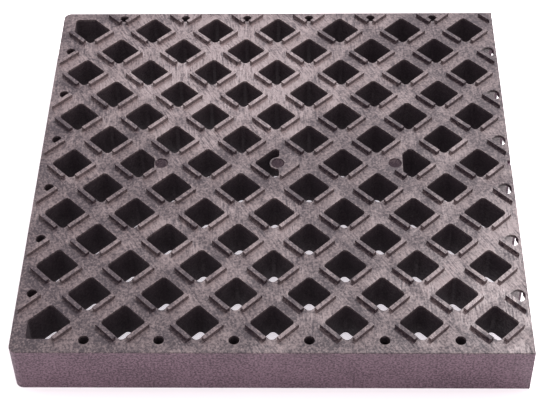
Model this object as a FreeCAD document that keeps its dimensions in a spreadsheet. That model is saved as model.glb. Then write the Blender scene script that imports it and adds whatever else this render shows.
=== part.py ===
import FreeCAD, Part
import math
import os

import Sketcher
from FreeCAD import Placement, Rotation, Vector

# Moulded lattice mat for a greenhouse bench: a square deck of diagonal bands with open wells
# between them, stop ribs on the two near sides of each well, and a skirt that it stands on.
# Millimetres. X to the right, Y to the back, Z up. Origin on the floor under the panel's middle.

os.makedirs("parts", exist_ok=True)
doc = FreeCAD.newDocument("LatticeMat")

SIZES = [
    ("pitch", 87.0, "from one well to the next, along X and along Y"),
    ("panel", 605.0, "side of the square panel"),
    ("lattice_x", 0.9, "middle of the lattice, right of the panel's middle"),
    ("lattice_y", 3.3, "middle of the lattice, behind the panel's middle"),
    ("deck_top", 67.0, "height of the deck's top face"),
    ("deck_thick", 4.0, "thickness of the deck"),
    ("skirt_thick", 5.0, "thickness of the skirt"),
    ("edge_round", 1.0, "rounding of the skirt's top edge"),
    ("corner_round", 10.0, "outer radius of the two left corners"),
    ("well_open", 38.8, "inner side of a square well"),
    ("well_wall", 4.0, "wall of a well"),
    ("well_round", 5.0, "inner corner radius of a well"),
    ("well_foot", 16.5, "gap between a well's lower end and the floor"),
    ("corner_well", 24.8, "reach of a corner well towards the panel's corner"),
    ("rib_wide", 5.0, "width of a stop rib"),
    ("rib_tall", 5.0, "height of a stop rib above the deck"),
    ("rib_inset", 22.0, "from a well's middle to its rib's inner face"),
    ("rib_near", 13.2, "reach of a rib towards the well's front corner"),
    ("rib_far", 17.6, "reach of a rib towards the well's side corner"),
    ("shut_inset", 20.5, "from a closed cell's middle to its rib's inner face"),
    ("shut_near", 17.3, "reach of a back rib towards the cell's front corner"),
    ("shut_far", 17.5, "reach of an edge rib away from the front corner"),
    ("rib_back", 8.3, "gap between a back rib and the panel's back face"),
    ("fix_dia", 12.7, "fixing hole"),
    ("boss_wall", 3.0, "wall of the tube below a fixing hole"),
    ("boss_deep", 20.0, "length of the tube below the deck"),
    ("fix_side", 286.0, "left fixing holes, from the lattice's middle"),
    ("fix_end", 287.1, "front and back fixing holes, from the lattice's middle"),
    ("edge_open", 298.4, "right side of an edge well, from the lattice's middle"),
    ("edge_corner", 8.4, "corner radius of an edge well"),
    ("edge_shift", 2.3, "edge well's opening, in front of its cell's middle"),
    ("edge_relief", 1.5, "gap between an edge well's walls and the right skirt"),
    ("window_wide", 70.0, "width of a window in the right skirt"),
    ("rail_deep", 8.5, "height of the right skirt's rail above a window"),
    ("gate_dia", 17.0, "round gate mark"),
    ("gate_deep", 1.0, "depth of a gate mark"),
    ("gate_land", 10.5, "radius of the land around the middle gate mark"),
    ("gate_blend", 4.0, "concave radius where that land meets its plate"),
    ("gate_clear", 16.5, "radius kept free of ribs around an outer gate mark"),
    ("gate_left", -146.0, "left gate mark, from the lattice's middle"),
    ("gate_mid", 3.5, "middle gate mark, from the lattice's middle"),
    ("gate_right", 153.8, "right gate mark, from the lattice's middle"),
    ("plug_left", -155.0, "free edge of the left gate's land"),
    ("plug_mid", 5.2, "free edge of the middle gate's land"),
    ("plug_right", 163.4, "free edge of the right gate's land"),
    ("notch_wide", 9.0, "finger notch in the right edge"),
    ("notch_deep", 4.5, "depth of the notch"),
]
sheet = doc.addObject("Spreadsheet::Sheet", "Dims")
for row, (alias, value, note) in enumerate(SIZES, start=1):
    sheet.set(f"A{row}", note)
    sheet.set(f"B{row}", str(value))
    sheet.setAlias(f"B{row}", alias)
doc.recompute()
SIZE = {alias: value for alias, value, note in SIZES}

HALF_TURN = "sqrt(0.5)"
DECK_LOW = "(Dims.deck_top - Dims.deck_thick)"
INNER = "(Dims.panel - 2 * Dims.skirt_thick)"
WELL_OUT = "(Dims.well_open + 2 * Dims.well_wall)"
BAND = f"(Dims.pitch * {HALF_TURN} - {WELL_OUT})"
ALONG_X, ALONG_Y = (50, -50), (50, 50)  # in a sketch turned by 45 degrees
EDGE_CELLS = [-2.5, -1.5, -0.5, 0.5, 1.5, 2.5]

nodes = []


def at(obj, x, y, z, turn=0.0):
    """Turn obj about Z and tie its position to three expressions."""
    obj.Placement = Placement(Vector(0, 0, 0), Rotation(Vector(0, 0, 1), turn))
    for axis, value in zip("xyz", (x, y, z)):
        obj.setExpression(f"Placement.Base.{axis}", str(value))


def cell(col, row):
    """Middle of the lattice cell at col, row (whole or half pitches)."""
    return f"(Dims.lattice_x + {col} * Dims.pitch)", f"(Dims.lattice_y + {row} * Dims.pitch)"


def block(name, size, middle, low, turn=0):
    """Box of the given size centred on middle, turned 0, 45 or -45 degrees, standing on low."""
    obj = doc.addObject("Part::Box", name)
    lx, ly, lz = size
    for prop, value in zip(("Length", "Width", "Height"), size):
        obj.setExpression(prop, str(value))
    if turn == 0:
        x, y = f"{middle[0]} - {lx} / 2", f"{middle[1]} - {ly} / 2"
    elif turn > 0:
        x = f"{middle[0]} - ({lx} - {ly}) * {HALF_TURN} / 2"
        y = f"{middle[1]} - ({lx} + {ly}) * {HALF_TURN} / 2"
    else:
        x = f"{middle[0]} - ({lx} + {ly}) * {HALF_TURN} / 2"
        y = f"{middle[1]} + ({lx} - {ly}) * {HALF_TURN} / 2"
    at(obj, x, y, low, turn)
    return obj


def rod(name, radius, height, middle, low, angle=360, turn=0):
    """Upright cylinder, or a sector of one."""
    obj = doc.addObject("Part::Cylinder", name)
    obj.setExpression("Radius", str(radius))
    obj.setExpression("Height", str(height))
    obj.Angle = angle
    at(obj, middle[0], middle[1], low, turn)
    return obj


def group(name, members):
    obj = doc.addObject("Part::Compound", name)
    obj.Links = members
    return obj


def cut(name, base, tool):
    obj = doc.addObject("Part::Cut", name)
    obj.Base, obj.Tool = base, tool
    return obj


def common(name, base, tool):
    obj = doc.addObject("Part::Common", name)
    obj.Base, obj.Tool = base, tool
    return obj


def union(name, members):
    obj = doc.addObject("Part::MultiFuse", name)
    obj.Shapes = members
    return obj


def node(label, obj):
    """Name obj as one of the mat's parts."""
    obj.Label = label
    nodes.append(obj)
    return obj


def new_body(name):
    body = doc.addObject("PartDesign::Body", name)
    sketch = body.newObject("Sketcher::SketchObject", name + "Sketch")
    plane = [o for o in body.Origin.OriginFeatures if "XY" in o.Name][0]
    sketch.AttachmentSupport = [(plane, "")]
    sketch.MapMode = "FlatFace"
    return body, sketch


def dimension(sketch, kind, places, value, expression):
    index = sketch.addConstraint(Sketcher.Constraint(kind, *places, value))
    sketch.setExpression(f"Constraints[{index}]", expression)


def draw_square(sketch, side, expression):
    """Sharp square about the sketch's origin."""
    n, r = sketch.GeometryCount, side / 2
    corners = [(-r, -r), (r, -r), (r, r), (-r, r)]
    for i in range(4):
        (ax, ay), (bx, by) = corners[i], corners[(i + 1) % 4]
        sketch.addGeometry(Part.LineSegment(Vector(ax, ay, 0), Vector(bx, by, 0)), False)
    for i in range(4):
        sketch.addConstraint(Sketcher.Constraint("Coincident", n + i, 2, n + (i + 1) % 4, 1))
        kind = "Vertical" if i % 2 else "Horizontal"
        sketch.addConstraint(Sketcher.Constraint(kind, n + i))
    sketch.addConstraint(Sketcher.Constraint("Symmetric", n, 1, n + 1, 2, -1, 1))
    sketch.addConstraint(Sketcher.Constraint("Equal", n, n + 1))
    dimension(sketch, "DistanceX", (n, 1, n, 2), side, expression)


def draw_round_square(sketch, side, radius, side_text, radius_text):
    """Square with rounded corners about the sketch's origin."""
    n, r, b = sketch.GeometryCount, side / 2, side / 2 - radius
    lines = [((-b, -r), (b, -r)), ((r, -b), (r, b)), ((b, r), (-b, r)), ((-r, b), (-r, -b))]
    arcs = [(b, -b, -90), (b, b, 0), (-b, b, 90), (-b, -b, 180)]
    for ((ax, ay), (bx, by)), (cx, cy, start) in zip(lines, arcs):
        sketch.addGeometry(Part.LineSegment(Vector(ax, ay, 0), Vector(bx, by, 0)), False)
        circle = Part.Circle(Vector(cx, cy, 0), Vector(0, 0, 1), radius)
        arc = Part.ArcOfCircle(circle, math.radians(start), math.radians(start + 90))
        sketch.addGeometry(arc, False)
    for i in range(4):
        line, arc, following = n + 2 * i, n + 2 * i + 1, n + (2 * i + 2) % 8
        sketch.addConstraint(Sketcher.Constraint("Tangent", line, 2, arc, 1))
        sketch.addConstraint(Sketcher.Constraint("Tangent", arc, 2, following, 1))
        kind = "Vertical" if i % 2 else "Horizontal"
        sketch.addConstraint(Sketcher.Constraint(kind, line))
    for i in (1, 2, 3):
        sketch.addConstraint(Sketcher.Constraint("Equal", n + 1, n + 2 * i + 1))
    sketch.addConstraint(Sketcher.Constraint("Symmetric", n + 1, 3, n + 5, 3, -1, 1))
    sketch.addConstraint(Sketcher.Constraint("Equal", n, n + 2))
    dimension(sketch, "Radius", (n + 1,), radius, radius_text)
    flat = f"{side_text} - 2 * {radius_text}"
    dimension(sketch, "DistanceX", (n, 1, n, 2), 2 * b, flat)


def draw_bar(sketch, left, front, right, back, texts):
    """Rectangle with its four sides dimensioned from the sketch's origin."""
    n = sketch.GeometryCount
    corners = [(left, front), (right, front), (right, back), (left, back)]
    for i in range(4):
        (ax, ay), (bx, by) = corners[i], corners[(i + 1) % 4]
        sketch.addGeometry(Part.LineSegment(Vector(ax, ay, 0), Vector(bx, by, 0)), False)
    for i in range(4):
        sketch.addConstraint(Sketcher.Constraint("Coincident", n + i, 2, n + (i + 1) % 4, 1))
        kind = "Vertical" if i % 2 else "Horizontal"
        sketch.addConstraint(Sketcher.Constraint(kind, n + i))
    dimension(sketch, "DistanceX", (-1, 1, n, 1), left, texts[0])
    dimension(sketch, "DistanceY", (-1, 1, n, 1), front, texts[1])
    dimension(sketch, "DistanceX", (-1, 1, n + 1, 2), right, texts[2])
    dimension(sketch, "DistanceY", (-1, 1, n + 1, 2), back, texts[3])


def pad(body, sketch, expression):
    feature = body.newObject("PartDesign::Pad", body.Name + "Pad")
    feature.Profile = sketch
    feature.setExpression("Length", expression)
    sketch.Visibility = False
    return feature


def repeat(body, sketch, feature, count, along):
    """Copy a feature along a line from the sketch's origin that points to along."""
    n = sketch.GeometryCount
    x, y = along
    sketch.addGeometry(Part.LineSegment(Vector(0, 0, 0), Vector(x, y, 0)), True)
    sketch.addConstraint(Sketcher.Constraint("Coincident", n, 1, -1, 1))
    sketch.addConstraint(Sketcher.Constraint("DistanceX", n, 1, n, 2, x))
    sketch.addConstraint(Sketcher.Constraint("DistanceY", n, 1, n, 2, y))
    doc.recompute()
    pattern = doc.addObject("PartDesign::LinearPattern", body.Name + "Row")
    body.addObject(pattern)
    pattern.Originals = [feature]
    pattern.Direction = (sketch, ["Axis0"])
    pattern.setExpression("Length", f"{count - 1} * Dims.pitch")
    pattern.Occurrences = count
    body.Tip = pattern


def round_edges(name, base, radius_alias, picks):
    """Fillet the edges of base that picks accepts."""
    doc.recompute()
    obj = doc.addObject("Part::Fillet", name)
    obj.Base = base
    radius = SIZE[radius_alias]
    obj.Edges = [(i, radius, radius) for i, e in enumerate(base.Shape.Edges, 1) if picks(e)]
    base.Visibility = False
    return obj


def is_upright(edge):
    return abs(edge.BoundBox.ZLength - edge.Length) < 1e-6


# Wells: square sleeves open at both ends, their upper ends flush with the deck. Row 01 is at the
# front. Rows of seven and of six alternate; the left ends of the first and last are corner wells.
WELL_TALL = "Dims.deck_top - Dims.well_foot"
ROWS = []
for number in range(13):
    level = -3 + 0.5 * number
    first, count = (-3, 7) if number % 2 == 0 else (-2.5, 6)
    ROWS.append((number + 1, level, first, count))

wells, gate_row = [], None
for number, level, first, count in ROWS:
    if abs(level) == 3:
        first, count = first + 1, count - 1
    body, sketch = new_body(f"WellRow{number:02d}")
    at(body, *cell(first, level), "Dims.well_foot", 45)
    draw_square(sketch, SIZE["well_open"] + 2 * SIZE["well_wall"], WELL_OUT)
    draw_round_square(sketch, SIZE["well_open"], SIZE["well_round"],
                      "Dims.well_open", "Dims.well_round")
    repeat(body, sketch, pad(body, sketch, WELL_TALL), count, ALONG_X)
    if level == 0:
        gate_row = body
    else:
        node(f"well_row_{number:02d}", body)

# Stop ribs: two short bars on the deck in front of each well, with a gap at the front corner.
for number, level, first, count in ROWS:
    skip = 1 if level == -3 else 0
    body, sketch = new_body(f"RibRow{number:02d}")
    at(body, *cell(first + skip, level), "Dims.deck_top", 45)
    near, far = SIZE["rib_near"], SIZE["rib_far"]
    inner, outer = SIZE["rib_inset"], SIZE["rib_inset"] + SIZE["rib_wide"]
    out_text = "-(Dims.rib_inset + Dims.rib_wide)"
    draw_bar(sketch, -outer, -near, -inner, far,
             (out_text, "-Dims.rib_near", "-Dims.rib_inset", "Dims.rib_far"))
    draw_bar(sketch, -near, -outer, far, -inner,
             ("-Dims.rib_near", out_text, "Dims.rib_far", "-Dims.rib_inset"))
    repeat(body, sketch, pad(body, sketch, "Dims.rib_tall"), count - skip, ALONG_X)
    if level == 0:
        clear = [rod(f"Clear{i}", "Dims.gate_clear", "3 * Dims.rib_tall",
                     (f"Dims.lattice_x + Dims.{name}", "Dims.lattice_y"),
                     "Dims.deck_top - Dims.rib_tall")
                 for i, name in enumerate(("gate_left", "gate_right"), 1)]
        body = cut("GateRibRow", body, group("GateClear", clear))
    node(f"rib_row_{number:02d}", body)

# Deck: diagonal bands between the wells. The rising bands run the whole way across, and the
# falling bands are cut into links between them.
inner_deck = block("InnerDeck", (INNER, INNER, "Dims.deck_thick"), ("0", "0"), DECK_LOW)
inner_tall = block("InnerTall", (INNER, INNER, "2 * Dims.deck_top"), ("0", "0"), "0")
rising, falling = [], []
for step in range(13):
    line = step - 5.5
    size = ("2 * Dims.panel", BAND, "Dims.deck_thick")
    rising.append(block(f"Rising{step + 1:02d}", size, cell(line / 2, -line / 2), DECK_LOW, 45))
    falling.append(block(f"Falling{step + 1:02d}", size, cell(line / 2, line / 2), DECK_LOW, -45))
rising_bands = group("RisingBands", rising)
falling_bands = group("FallingBands", falling)
deck_bands = common("DeckBandsWhole", rising_bands, inner_deck)
links = cut("LinksLong", falling_bands, rising_bands)
deck_links = common("DeckLinksWhole", links, inner_deck)

# Gate marks: three shallow round recesses along the middle row.
gates = group("GateMarks", [
    rod(f"Gate{i}", "Dims.gate_dia / 2", "2 * Dims.gate_deep",
        (f"Dims.lattice_x + Dims.{name}", "Dims.lattice_y"), "Dims.deck_top - Dims.gate_deep")
    for i, name in enumerate(("gate_left", "gate_mid", "gate_right"), 1)])
node("deck_bands", cut("DeckBands", deck_bands, gates))
node("deck_links", cut("DeckLinks", deck_links, gates))
node("well_row_07", cut("GateWellRow", gate_row, gates))


def plug(name, col):
    """Deck-level plate that fills the well at col in the middle row."""
    body, sketch = new_body(name)
    at(body, *cell(col, 0), DECK_LOW, 45)
    draw_round_square(sketch, SIZE["well_open"], SIZE["well_round"],
                      "Dims.well_open", "Dims.well_round")
    pad(body, sketch, "Dims.deck_thick")
    return body


LAND = ("Dims.pitch", "Dims.pitch", "Dims.deck_thick")
left_box = block("LeftLand", LAND,
                 ("Dims.lattice_x + Dims.plug_left + Dims.pitch / 2", "Dims.lattice_y"), DECK_LOW)
mid_box = block("MiddleLand", LAND,
                ("Dims.lattice_x + Dims.plug_mid + Dims.pitch / 2", "Dims.lattice_y"), DECK_LOW)
right_box = block("RightLand", LAND,
                  ("Dims.lattice_x + Dims.plug_right - Dims.pitch / 2", "Dims.lattice_y"), DECK_LOW)
mid_disc = rod("MiddleDisc", "Dims.gate_land", "Dims.deck_thick",
               ("Dims.lattice_x + Dims.gate_mid", "Dims.lattice_y"), DECK_LOW)
mid_land = round_edges("MiddleBlend", union("MiddleShape", [mid_box, mid_disc]), "gate_blend",
                       lambda e: is_upright(e) and abs(e.BoundBox.YMin - SIZE["lattice_y"]) < 12
                       and e.BoundBox.XMin < SIZE["lattice_x"] + SIZE["plug_mid"] + 1e-3)
for side, col, land in (("left", -2, left_box), ("middle", 0, mid_land), ("right", 2, right_box)):
    filled = common(f"Fill{side.title()}", plug(f"Plug{side.title()}", col), land)
    node(f"gate_land_{side}", cut(f"GateLand{side.title()}", filled, gates))

# Closed half cells along three sides, each a plate with a fixing hole.
SQUARE = (WELL_OUT, WELL_OUT, "Dims.deck_thick")


def edge_plates(label, places, holes):
    squares = [block(f"{label}_square{i}", SQUARE, cell(*p), DECK_LOW, 45)
               for i, p in enumerate(places, 1)]
    plates = common(label + "_plates", group(label + "_squares", squares), inner_deck)
    if not holes:
        return node(label, plates)
    drills = [rod(f"{label}_hole{i}", "Dims.fix_dia / 2", "2 * Dims.deck_thick", hole,
                  f"{DECK_LOW} - Dims.deck_thick / 2") for i, hole in enumerate(holes, 1)]
    return node(label, cut(label + "_drilled", plates, group(label + "_holes", drills)))


FRONT_Y, BACK_Y = "(Dims.lattice_y - Dims.fix_end)", "(Dims.lattice_y + Dims.fix_end)"
edge_plates("front_fixing_plates", [(k, -3.5) for k in EDGE_CELLS],
            [(cell(k, 0)[0], FRONT_Y) for k in EDGE_CELLS])
edge_plates("back_fixing_plates", [(k, 3.5) for k in EDGE_CELLS],
            [(cell(k, 0)[0], BACK_Y) for k in EDGE_CELLS])
edge_plates("left_fixing_plates", [(-3.5, k) for k in EDGE_CELLS],
            [("(Dims.lattice_x - Dims.fix_side)", cell(0, k)[1]) for k in EDGE_CELLS])
edge_plates("right_corner_plates", [(3.5, -3.5), (3.5, 3.5)], [])


def bosses(label, holes):
    """Tubes that carry the fixing holes on below the deck."""
    low = f"{DECK_LOW} - Dims.boss_deep"
    outer = [rod(f"{label}_outer{i}", "Dims.fix_dia / 2 + Dims.boss_wall", "Dims.boss_deep",
                 hole, low) for i, hole in enumerate(holes, 1)]
    inner = [rod(f"{label}_inner{i}", "Dims.fix_dia / 2", "Dims.boss_deep", hole, low)
             for i, hole in enumerate(holes, 1)]
    return node(label, cut(label + "_tubes", group(label + "_outers", outer),
                           group(label + "_inners", inner)))


bosses("front_fixing_bosses", [(cell(k, 0)[0], FRONT_Y) for k in EDGE_CELLS])
bosses("back_fixing_bosses", [(cell(k, 0)[0], BACK_Y) for k in EDGE_CELLS])
bosses("left_fixing_bosses",
       [("(Dims.lattice_x - Dims.fix_side)", cell(0, k)[1]) for k in EDGE_CELLS])

# Right side: half cells left open. Each keeps the two inner walls of a well, and its opening is
# rounded by small gussets where it meets the edge.
FIRST = cell(3.5, EDGE_CELLS[0])
sleeves, sketch = new_body("EdgeSleeves")
at(sleeves, *FIRST, "Dims.well_foot", 45)
draw_square(sketch, SIZE["well_open"] + 2 * SIZE["well_wall"], WELL_OUT)
draw_round_square(sketch, SIZE["well_open"], SIZE["well_round"],
                  "Dims.well_open", "Dims.well_round")
repeat(sleeves, sketch, pad(sleeves, sketch, WELL_TALL), 6, ALONG_Y)
relief = block("EdgeRelief", ("2 * Dims.edge_relief", INNER, DECK_LOW),
               (f"{INNER} / 2", "0"), "0")
edge_walls = cut("EdgeWalls", common("EdgeWallsLong", sleeves, inner_tall), relief)

fill, sketch = new_body("EdgeFill")
at(fill, *FIRST, DECK_LOW, 45)
draw_round_square(sketch, SIZE["well_open"], SIZE["well_round"],
                  "Dims.well_open", "Dims.well_round")
repeat(fill, sketch, pad(fill, sketch, "Dims.deck_thick"), 6, ALONG_Y)


def draw_edge_opening(sketch):
    """Right-angled triangle with rounded corners, its long side facing right."""
    n, r, small = sketch.GeometryCount, SIZE["edge_corner"], SIZE["well_round"]
    right = SIZE["edge_open"] - 3.5 * SIZE["pitch"]
    apex = -SIZE["well_open"] * math.sqrt(0.5)
    q = math.sqrt(0.5)
    up = right - r - (apex + r / q)
    if up <= 0:
        raise RuntimeError("edge_corner is too large for the depth of an edge well")
    left_x = apex + small / q
    centres = [(left_x, 0, small, 135, 225), (right - r, -up, r, 225, 360),
               (right - r, up, r, 0, 135)]
    ends = [[(x + s * math.cos(math.radians(t)), y + s * math.sin(math.radians(t)))
             for t in (a, b)] for x, y, s, a, b in centres]
    for i, (x, y, s, a, b) in enumerate(centres):
        circle = Part.Circle(Vector(x, y, 0), Vector(0, 0, 1), s)
        sketch.addGeometry(Part.ArcOfCircle(circle, math.radians(a), math.radians(b)), False)
        start, end = ends[i][1], ends[(i + 1) % 3][0]
        sketch.addGeometry(Part.LineSegment(Vector(*start, 0), Vector(*end, 0)), False)
    for i in range(3):
        arc, line, following = n + 2 * i, n + 2 * i + 1, n + (2 * i + 2) % 6
        sketch.addConstraint(Sketcher.Constraint("Tangent", arc, 2, line, 1))
        sketch.addConstraint(Sketcher.Constraint("Tangent", line, 2, following, 1))
    sketch.addConstraint(Sketcher.Constraint("Vertical", n + 3))
    sketch.addConstraint(Sketcher.Constraint("Perpendicular", n + 1, n + 5))
    sketch.addConstraint(Sketcher.Constraint("PointOnObject", n, 3, -1))
    sketch.addConstraint(Sketcher.Constraint("Equal", n + 2, n + 4))
    dimension(sketch, "Radius", (n,), small, "Dims.well_round")
    dimension(sketch, "Radius", (n + 2,), r, "Dims.edge_corner")
    dimension(sketch, "DistanceX", (-1, 1, n + 3, 1), right, "Dims.edge_open - 3.5 * Dims.pitch")
    dimension(sketch, "DistanceX", (-1, 1, n, 3), left_x,
              f"-(Dims.well_open - 2 * Dims.well_round) * {HALF_TURN}")


opening, sketch = new_body("EdgeOpening")
at(opening, FIRST[0], f"{FIRST[1]} - Dims.edge_shift",
   "Dims.deck_top - Dims.rail_deep - Dims.deck_thick")
draw_edge_opening(sketch)
repeat(opening, sketch, pad(opening, sketch, "Dims.rail_deep + 2 * Dims.deck_thick"), 6, (0, 50))
node("right_edge_wells", cut("EdgeWells", edge_walls, opening))
node("right_edge_gussets", cut("EdgeGussets", common("EdgeFilled", fill, inner_deck), opening))

# Corner wells at the left: five-sided, reaching into the panel's corners.
def five_sided(name, side, reach, up):
    """Upright prism: a square well that runs out to a corner at the left, front or back."""
    x, y = cell(-3, 3 * up)
    slide = f"({side} - Dims.pitch) * {HALF_TURN} / 2"
    arm = block(name + "Arm", ("Dims.pitch", side, WELL_TALL),
                (f"({x} + {slide})", f"({y} - {up} * {slide})"), "Dims.well_foot", -45 * up)
    box = block(name + "Box", ("Dims.pitch", "Dims.pitch", WELL_TALL),
                (f"({x} - {reach} + Dims.pitch / 2)",
                 f"({y} + {up} * ({reach} - Dims.pitch / 2))"), "Dims.well_foot")
    return common(name + "Prism", arm, box)


for place, up in (("front", -1), ("back", 1)):
    title = place.title()
    outside = five_sided(f"{title}CornerOut", WELL_OUT, "(Dims.corner_well + Dims.well_wall)", up)
    inside = five_sided(f"{title}CornerIn", "Dims.well_open", "Dims.corner_well", up)
    inside = round_edges(f"{title}CornerRound", inside, "well_round", is_upright)
    node(f"corner_well_{place}_left", cut(f"{title}CornerWell", outside, inside))

    # Corner of the skirt: a quarter ring.
    centre = "(Dims.panel / 2 - Dims.corner_round)"
    middle = (f"-{centre}", f"{up} * {centre}")
    turn = 90 if up > 0 else 180
    full = rod(f"{title}PostFull", "Dims.corner_round", "Dims.deck_top", middle, "0", 90, turn)
    hollow = rod(f"{title}PostHollow", "Dims.corner_round - Dims.skirt_thick", "Dims.deck_top",
                 middle, "0", 90, turn)
    ring = cut(f"{title}PostRing", full, hollow)
    post = round_edges(f"{title}Post", ring, "edge_round",
                       lambda e: e.BoundBox.ZMin > SIZE["deck_top"] - 1e-6
                       and abs(e.Length - math.pi / 2 * SIZE["corner_round"]) < 1e-3)
    node(f"corner_post_{place}_left", post)

    # Deck around the corner well.
    span = f"({INNER} / 2 - 25)"
    around = block(f"{title}Around", ("50", "50", "Dims.deck_thick"),
                   (f"-{span}", f"{up} * {span}"), DECK_LOW)
    rest = cut(f"{title}AroundBands", around, union(f"{title}Taken", rising + falling + [outside]))
    node(f"corner_deck_{place}_left", cut(f"{title}CornerDeck", rest, ring))

# Skirt: four walls down to the floor. The right one has a window below each edge well.
TALL, THICK = "Dims.deck_top", "Dims.skirt_thick"
LONG = "(Dims.panel - Dims.corner_round)"
OUT = "(Dims.panel - Dims.skirt_thick) / 2"


def top_outer_edge(side, sign):
    """Pick the long top edge on the outer face at X or Y = sign * panel / 2."""
    def picks(edge):
        box = edge.BoundBox
        low, high = (box.XMin, box.XMax) if side == "x" else (box.YMin, box.YMax)
        return (box.ZMin > SIZE["deck_top"] - 1e-6
                and max(abs(v - sign * SIZE["panel"] / 2) for v in (low, high)) < 1e-6)
    return picks


for place, up in (("front", -1), ("back", 1)):
    wall = block(f"{place.title()}Wall", (LONG, THICK, TALL),
                 ("Dims.corner_round / 2", f"{up} * {OUT}"), "0")
    node(f"skirt_{place}", round_edges(f"Skirt{place.title()}", wall, "edge_round",
                                       top_outer_edge("y", up)))
wall = block("LeftWall", (THICK, "(Dims.panel - 2 * Dims.corner_round)", TALL),
             (f"-{OUT}", "0"), "0")
node("skirt_left", round_edges("SkirtLeft", wall, "edge_round", top_outer_edge("x", -1)))

wall = round_edges("RightWallRound", block("RightWall", (THICK, INNER, TALL), (OUT, "0"), "0"),
                   "edge_round", top_outer_edge("x", 1))
windows = [block(f"Window{i}", (f"3 * {THICK}", "Dims.window_wide", "Dims.deck_top - Dims.rail_deep"),
                 (OUT, cell(0, k)[1]), "0") for i, k in enumerate(EDGE_CELLS, 1)]
notch = block("Notch", ("2 * Dims.notch_deep", "Dims.notch_wide", "2 * Dims.deck_thick"),
              ("Dims.panel / 2", "Dims.lattice_y"), DECK_LOW)
node("skirt_right", cut("SkirtRight", wall, union("RightCuts", windows + [opening, notch])))

# Ribs of the closed cells and of the edge wells, cut off at the inside of the skirt.
MIDWAY = f"(Dims.shut_inset + Dims.rib_wide / 2) * {HALF_TURN}"


def edge_rib(name, col, row, hand, reach, midway=MIDWAY):
    """Bar on the near left (hand -1) or near right (hand 1) side of the cell at col, row."""
    x, y = cell(col, row)
    return block(name, (f"2 * {reach}", "Dims.rib_wide", "Dims.rib_tall"),
                 (f"({x} + {hand} * {midway})", f"({y} - {midway})"), "Dims.deck_top", 45 * hand)


back_room = block("BackRoom", (INNER, INNER, "2 * Dims.deck_top"),
                  ("0", "(Dims.skirt_thick - Dims.rib_back)"), "0")
back, left, right = [], [], []
for i, k in enumerate(EDGE_CELLS, 1):
    back.append(edge_rib(f"BackRibL{i}", k, 3.5, -1, "Dims.shut_near"))
    back.append(edge_rib(f"BackRibR{i}", k, 3.5, 1, "Dims.shut_near"))
    left.append(edge_rib(f"LeftRib{i}", -3.5, k, 1, "Dims.shut_far"))
    right.append(edge_rib(f"RightRib{i}", 3.5, k, -1, "Dims.shut_far"))
left.append(edge_rib("CornerRibLeft", -3, -3, 1, "Dims.rib_near",
                     f"(Dims.rib_inset + Dims.rib_wide / 2) * {HALF_TURN}"))
back.append(edge_rib("CornerRibRight", 3.5, 3.5, -1, "Dims.shut_near"))
back_kept = common("BackRibsKept", group("BackRibBars", back), inner_tall)
node("back_edge_ribs", common("BackRibs", back_kept, back_room))
node("left_edge_ribs", common("LeftRibs", group("LeftRibBars", left), inner_tall))
node("right_edge_ribs", common("RightRibs", group("RightRibBars", right), inner_tall))

doc.recompute()

# Every object must have been computed, and every part must be a valid solid.
for obj in doc.Objects:
    if "Invalid" in obj.State or "Error" in obj.State:
        raise RuntimeError(f"{obj.Name} ({obj.Label}) did not compute: {obj.State}")
for obj in nodes:
    shape = obj.Shape
    if shape.isNull() or not shape.isValid() or not shape.Solids:
        raise RuntimeError(f"{obj.Label} has no valid solid")
    if len(obj.Label) >= 60:
        raise RuntimeError(f"{obj.Label} is too long a name")
    shape.exportStep(f"parts/{obj.Label}.step")
    box = shape.BoundBox
    print(f"{obj.Label:26s} {len(shape.Solids):4d} solids  {shape.Volume / 1000:9.1f} cm3  "
          f"z {box.ZMin:.1f} to {box.ZMax:.1f}")
print(len(nodes), "parts")
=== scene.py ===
import math

import bpy
from mathutils import Matrix, Vector


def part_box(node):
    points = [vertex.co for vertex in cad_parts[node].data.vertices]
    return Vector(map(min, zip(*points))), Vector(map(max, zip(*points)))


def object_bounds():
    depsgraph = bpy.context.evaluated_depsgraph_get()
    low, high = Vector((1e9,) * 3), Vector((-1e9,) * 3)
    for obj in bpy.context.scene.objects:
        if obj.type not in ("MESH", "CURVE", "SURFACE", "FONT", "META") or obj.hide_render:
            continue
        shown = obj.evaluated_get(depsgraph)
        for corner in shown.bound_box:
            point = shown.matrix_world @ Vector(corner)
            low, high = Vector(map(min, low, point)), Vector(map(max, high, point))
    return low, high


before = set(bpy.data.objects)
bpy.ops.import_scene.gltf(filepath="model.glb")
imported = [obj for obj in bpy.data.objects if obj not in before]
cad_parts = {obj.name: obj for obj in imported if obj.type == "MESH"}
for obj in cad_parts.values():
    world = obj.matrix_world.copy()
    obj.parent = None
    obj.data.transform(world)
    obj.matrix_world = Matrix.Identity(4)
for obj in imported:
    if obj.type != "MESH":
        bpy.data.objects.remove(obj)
cad_low, cad_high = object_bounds()
scene = bpy.context.scene
deck_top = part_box("deck_links")[1].z


# ---------------------------------------------------------------- node helpers
def new_material(name):
    material = bpy.data.materials.new(name)
    material.use_nodes = True
    material.node_tree.nodes.clear()
    return material, material.node_tree


def add(tree, kind, inputs=(), **settings):
    made = tree.nodes.new(kind)
    for key, value in settings.items():
        setattr(made, key, value)
    for key, value in dict(inputs).items():
        if isinstance(value, bpy.types.NodeSocket):
            tree.links.new(value, made.inputs[key])
        else:
            made.inputs[key].default_value = value
    return made


def maths(tree, operation, first, second=0.0, clamp=False):
    return add(tree, "ShaderNodeMath", {0: first, 1: second}, operation=operation,
               use_clamp=clamp).outputs[0]


def remap(tree, value, low, high, out_low, out_high):
    return add(tree, "ShaderNodeMapRange",
               {"Value": value, "From Min": low, "From Max": high,
                "To Min": out_low, "To Max": out_high}).outputs["Result"]


def noise(tree, vector, scale, detail=2.0, rough=0.5):
    return add(tree, "ShaderNodeTexNoise",
               {"Vector": vector, "Scale": scale, "Detail": detail, "Roughness": rough}
               ).outputs["Fac"]


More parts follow.
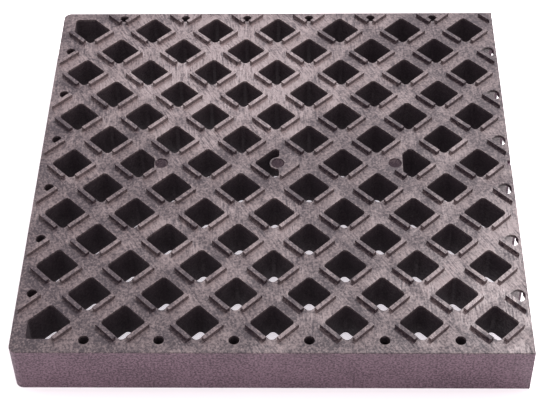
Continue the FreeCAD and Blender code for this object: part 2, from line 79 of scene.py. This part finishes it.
def blend_colour(tree, factor, first, second):
    made = add(tree, "ShaderNodeMix", {0: factor}, data_type="RGBA")
    for socket, value in ((made.inputs[6], first), (made.inputs[7], second)):
        if isinstance(value, bpy.types.NodeSocket):
            tree.links.new(value, socket)
        else:
            socket.default_value = value
    return made.outputs[2]


# ---------------------------------------------------------------- moulded plastic
# Well pitch and lattice centre; the round gate marks, as places on the deck.
PITCH, MIDDLE = 0.087, (0.0009, 0.0033, 0.0)
GATES = ((-0.1451, 0.0033), (0.0044, 0.0033), (0.1547, 0.0033))
GATE_RADIUS = 0.0085
# Soft glossier and duller patches of the deck: middle, reach and amount of each. They set the
# roughness and also lighten or darken the deck's colour: painted sheen on the glossier
# patches, painted dimness on the duller ones.
GLOSS_AND_PAINTED_SHEEN = (((-0.07, 0.18), 0.28, 1.0), ((0.25, -0.19), 0.22, 0.45), ((-0.04, -0.12), 0.16, 0.25))
DULL_AND_PAINTED_DIM = (((-0.28, -0.29), 0.30, 0.50), ((0.30, 0.24), 0.22, 0.50), ((-0.05, 0.0), 0.12, 0.25),
        ((0.12, 0.0), 0.13, 0.40), ((0.24, -0.32), 0.09, 0.45))


def patch(tree, flat, middle, reach, amount):
    """Smooth hill of the given height round a point of the deck."""
    away = add(tree, "ShaderNodeVectorMath", {0: flat, 1: (*middle, 0.0)},
               operation="DISTANCE").outputs["Value"]
    return add(tree, "ShaderNodeMapRange",
               {"Value": away, "From Min": 0.0, "From Max": reach,
                "To Min": amount, "To Max": 0.0},
               interpolation_type="SMOOTHERSTEP").outputs["Result"]


def total(tree, values):
    result = values[0]
    for value in values[1:]:
        result = maths(tree, "ADD", result, value)
    return result


def streaks(tree, place, heading, along, across):
    """Fine hair-like flow lines along one heading, in radians from +X."""
    turned = add(tree, "ShaderNodeVectorRotate", {"Vector": place, "Angle": -heading},
                 rotation_type="Z_AXIS").outputs["Vector"]
    laid = add(tree, "ShaderNodeVectorMath", {0: turned, 1: (along, across, across)},
               operation="MULTIPLY").outputs[0]
    return remap(tree, noise(tree, laid, 1.0, 2.0, 0.6), 0.30, 0.70, 0.0, 1.0)


# Mask for painted light on the rising bands and painted shade on the falling ones.
def band_light_and_shade(tree, place):
    """1 on the rising bands, -1 on the falling ones and 0 where they cross."""
    moved = add(tree, "ShaderNodeVectorMath", {0: place, 1: MIDDLE},
                operation="SUBTRACT").outputs[0]
    turned = add(tree, "ShaderNodeVectorRotate", {"Vector": moved, "Angle": -math.pi / 4},
                 rotation_type="Z_AXIS").outputs["Vector"]
    axes = add(tree, "ShaderNodeSeparateXYZ", {0: turned})
    half = PITCH * math.sqrt(0.5) / 2
    inside = []
    for index in (0, 1):
        wrapped = add(tree, "ShaderNodeMath", {0: axes.outputs[index], 1: half, 2: -half},
                      operation="WRAP").outputs[0]
        inside.append(remap(tree, maths(tree, "ABSOLUTE", wrapped), 0.012, 0.024, 0.0, 1.0))
    return maths(tree, "SUBTRACT", inside[1], inside[0])


DECK_THICK = 0.004
DECK_DARK, DECK_LIGHT = (0.0060, 0.0006, 0.0040, 1.0), (0.1020, 0.0770, 0.0760, 1.0)
# Skirt outside tones: the same plastic, painted in the plainer, purpler tone its outside faces
# show in shade.
FLANK_DARK, FLANK_LIGHT = (0.020, 0.005, 0.013, 1.0), (0.112, 0.067, 0.088, 1.0)


def plastic(name, below_deck_shade=1.0, flank=False):
    """Satin plastic: mould grain, flow lines, glossier patches, and rough gate marks.

    core is how light the faces below the deck are painted, next to the deck's own: painted
    shade in the wells. With flank they have the plainer, purpler look of the skirt's outside
    instead, painted in the tone its faces show in shade and without the painted sheen.
    """
    material, tree = new_material(name)
    place = add(tree, "ShaderNodeNewGeometry").outputs["Position"]
    flat = add(tree, "ShaderNodeVectorMath", {0: place, 1: (1.0, 1.0, 0.0)},
               operation="MULTIPLY").outputs[0]
    height = add(tree, "ShaderNodeSeparateXYZ", {0: place}).outputs[2]

    # Painted sheen: the glossier patches lighten the deck's colour and the duller ones darken
    # it, besides setting the roughness.
    gloss_and_painted_sheen = total(tree, [patch(tree, flat, *p) for p in GLOSS_AND_PAINTED_SHEEN])
    gloss_and_painted_sheen = maths(tree, "SUBTRACT", gloss_and_painted_sheen, total(tree, [patch(tree, flat, *p) for p in DULL_AND_PAINTED_DIM]))
    cloud = remap(tree, noise(tree, place, 22.0, 2.0, 0.6), 0.35, 0.65, -0.3, 0.5)
    gloss_and_painted_sheen = maths(tree, "ADD", gloss_and_painted_sheen, cloud, clamp=True)

    which = remap(tree, noise(tree, place, 14.0, 1.0, 0.5), 0.44, 0.56, 0.0, 1.0)
    lines = add(tree, "ShaderNodeMix",
                {0: which, 2: streaks(tree, place, -1.05, 60.0, 420.0),
                 3: streaks(tree, place, 1.65, 60.0, 420.0)}).outputs[0]
    # The flow lines' colour contrast grows with the painted sheen: painted highlights along
    # the flow lines.
    lines = maths(tree, "MULTIPLY", maths(tree, "SUBTRACT", lines, 0.45),
                  remap(tree, gloss_and_painted_sheen, 0.0, 1.0, 0.33, 1.45))
    grain = noise(tree, place, 380.0, 2.0, 0.7)
    speck = noise(tree, place, 1900.0, 2.0, 0.6)
    rub = maths(tree, "MULTIPLY", maths(tree, "SUBTRACT", grain, 0.5), 2.6)

    apart = [add(tree, "ShaderNodeVectorMath", {0: flat, 1: (x, y, 0.0)},
                 operation="DISTANCE").outputs["Value"] for x, y in GATES]
    nearest = maths(tree, "MINIMUM", maths(tree, "MINIMUM", apart[0], apart[1]), apart[2])
    mark = remap(tree, nearest, GATE_RADIUS - 0.0006, GATE_RADIUS, 1.0, 0.0)
    torn = streaks(tree, place, 1.15, 120.0, 520.0)
    scar = maths(tree, "MULTIPLY", mark, remap(tree, torn, 0.2, 0.9, 1.0, 0.6))

    # Painted light and shade: the rising bands are lightened and the falling bands darkened.
    tone = total(tree, [maths(tree, "MULTIPLY", gloss_and_painted_sheen, 0.55), lines, rub,
                        maths(tree, "MULTIPLY", band_light_and_shade(tree, place), 0.20)])
    tone = maths(tree, "ADD", tone, 0.26, clamp=True)
    tone = maths(tree, "MULTIPLY", tone, maths(tree, "SUBTRACT", 1.0, scar))
    # Painted shade: faces below the deck, down in the wells, are darkened to the core factor.
    inside = remap(tree, height, deck_top - DECK_THICK, deck_top - 0.0015, below_deck_shade, 1.0)
    colour = blend_colour(tree, maths(tree, "MULTIPLY", tone, inside), DECK_DARK, DECK_LIGHT)

    rough = total(tree, [remap(tree, gloss_and_painted_sheen, 0.0, 1.0, 0.60, 0.34),
                         maths(tree, "MULTIPLY", lines, -0.22),
                         maths(tree, "MULTIPLY", rub, -0.12),
                         maths(tree, "MULTIPLY", mark, 0.45),
                         remap(tree, inside, below_deck_shade, 1.01, 0.35 * (1.0 - below_deck_shade), 0.0)])
    if flank:
        # The skirt's outside takes that painted shaded tone in place of the deck's colour and
        # painted sheen.
        above = remap(tree, height, deck_top - 0.0012, deck_top - 0.0003, 0.0, 1.0)
        mottle = total(tree, [0.38, maths(tree, "MULTIPLY", rub, 1.5),
                              maths(tree, "MULTIPLY", cloud, 0.25)])
        colour = blend_colour(tree, above, blend_colour(tree, mottle, FLANK_DARK, FLANK_LIGHT),
                              colour)
        rough = add(tree, "ShaderNodeMix", {0: above, 2: 0.54, 3: rough}).outputs[0]

    relief = total(tree, [maths(tree, "MULTIPLY", grain, 0.45),
                          maths(tree, "MULTIPLY", speck, 0.2),
                          maths(tree, "MULTIPLY", lines, 0.7),
                          maths(tree, "MULTIPLY", maths(tree, "MULTIPLY", torn, mark), 4.0)])
    bump = add(tree, "ShaderNodeBump", {"Height": relief, "Strength": 0.5, "Distance": 0.0005})
    shader = add(tree, "ShaderNodeBsdfPrincipled",
                 {"Base Color": colour, "Roughness": rough, "Normal": bump.outputs[0],
                  "Specular IOR Level": 0.4})
    end = add(tree, "ShaderNodeOutputMaterial")
    tree.links.new(shader.outputs[0], end.inputs[0])
    return material


# The deck's wells get deep painted shade; the half-wells along the right edge, open at the
# side, get only light painted shade.
deck = plastic("moulding", below_deck_shade=0.15)
edge = plastic("moulding_edge_light_painted_shade", below_deck_shade=0.9)
side = plastic("moulding_side", flank=True)

for name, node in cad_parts.items():
    chosen = deck
    if name.startswith(("skirt_", "corner_post_")):
        chosen = side
    elif name == "right_edge_wells":
        chosen = edge
    if not node.data.materials:
        node.data.materials.append(chosen)
    for place in range(len(node.data.materials)):
        node.data.materials[place] = chosen


# ---------------------------------------------------------------- floor and light
FLOOR_REACH = 6.0
GLOW_EDGE = (0.285, 0.298)
# Painted light: emission strength of the floor under the panel, fading out at its edge.
GLOW = 0.66
mesh = bpy.data.meshes.new("floor")
mesh.from_pydata([(FLOOR_REACH * x, FLOOR_REACH * y, 0.0)
                  for x, y in ((-1, -1), (1, -1), (1, 1), (-1, 1))], [], [(0, 1, 2, 3)])
floor = bpy.data.objects.new("floor", mesh)
floor.location.z = cad_low.z
scene.collection.objects.link(floor)
# Pale paper with painted light: it glows a little under the panel, where it shows through the
# wells.
paper, tree = new_material("paper")
place = add(tree, "ShaderNodeNewGeometry").outputs["Position"]
apart = add(tree, "ShaderNodeSeparateXYZ", {0: place})
beside = maths(tree, "MAXIMUM", maths(tree, "ABSOLUTE", apart.outputs[0]),
               maths(tree, "ABSOLUTE", apart.outputs[1]))
shader = add(tree, "ShaderNodeBsdfPrincipled",
             {"Base Color": (0.92, 0.92, 0.92, 1.0), "Roughness": 1.0,
              "Specular IOR Level": 0.0, "Emission Color": (0.99, 0.93, 1.0, 1.0),
              "Emission Strength": remap(tree, beside, *GLOW_EDGE, GLOW, 0.0)})
end = add(tree, "ShaderNodeOutputMaterial")
tree.links.new(shader.outputs[0], end.inputs[0])
mesh.materials.append(paper)

world = bpy.data.worlds.new("studio")
world.use_nodes = True
backdrop = world.node_tree.nodes["Background"]
backdrop.inputs["Color"].default_value = (1.0, 0.935, 0.975, 1.0)
backdrop.inputs["Strength"].default_value = 1.8
scene.world = world


def soft_light(name, place, aim, size, power, colour=(1.0, 1.0, 1.0)):
    data = bpy.data.lights.new(name, "AREA")
    data.shape = "SQUARE"
    data.size = size
    data.energy = power
    data.color = colour
    lamp = bpy.data.objects.new(name, data)
    lamp.location = place
    lamp.rotation_mode = "QUATERNION"
    lamp.rotation_quaternion = (Vector(aim) - Vector(place)).to_track_quat("-Z", "Y")
    scene.collection.objects.link(lamp)


soft_light("key", (1.05, 1.16, 2.20), (0.0, 0.0, 0.06), 0.25, 92.0, (1.0, 0.95, 0.96))
soft_light("rear", (-0.1, 2.3, 2.1), (0.0, 0.1, 0.06), 1.1, 24.0, (1.0, 0.95, 1.0))

scene.view_settings.view_transform = "Standard"
scene.view_settings.look = "None"
scene.view_settings.exposure = 0.0
scene.view_settings.gamma = 1.0

# ---------------------------------------------------------------- camera
EYE = (0.0410, -1.3478, 1.3662 + deck_top)
turn, rise, roll = math.radians(1.90), math.radians(46.91), math.radians(-1.40)
back = Vector((math.sin(turn) * math.cos(rise), -math.cos(turn) * math.cos(rise),
               math.sin(rise)))
right = (-back).cross(Vector((0.0, 0.0, 1.0))).normalized()
up = right.cross(-back)
right, up = (math.cos(roll) * right + math.sin(roll) * up,
             math.cos(roll) * up - math.sin(roll) * right)
data = bpy.data.cameras.new("camera")
data.sensor_width = 36.0
data.lens = 98.9
data.clip_start, data.clip_end = 0.05, 50.0
camera = bpy.data.objects.new("camera", data)
camera.matrix_world = (Matrix.Translation(EYE)
                       @ Matrix((right, up, back)).transposed().to_4x4())
scene.collection.objects.link(camera)
scene.camera = camera
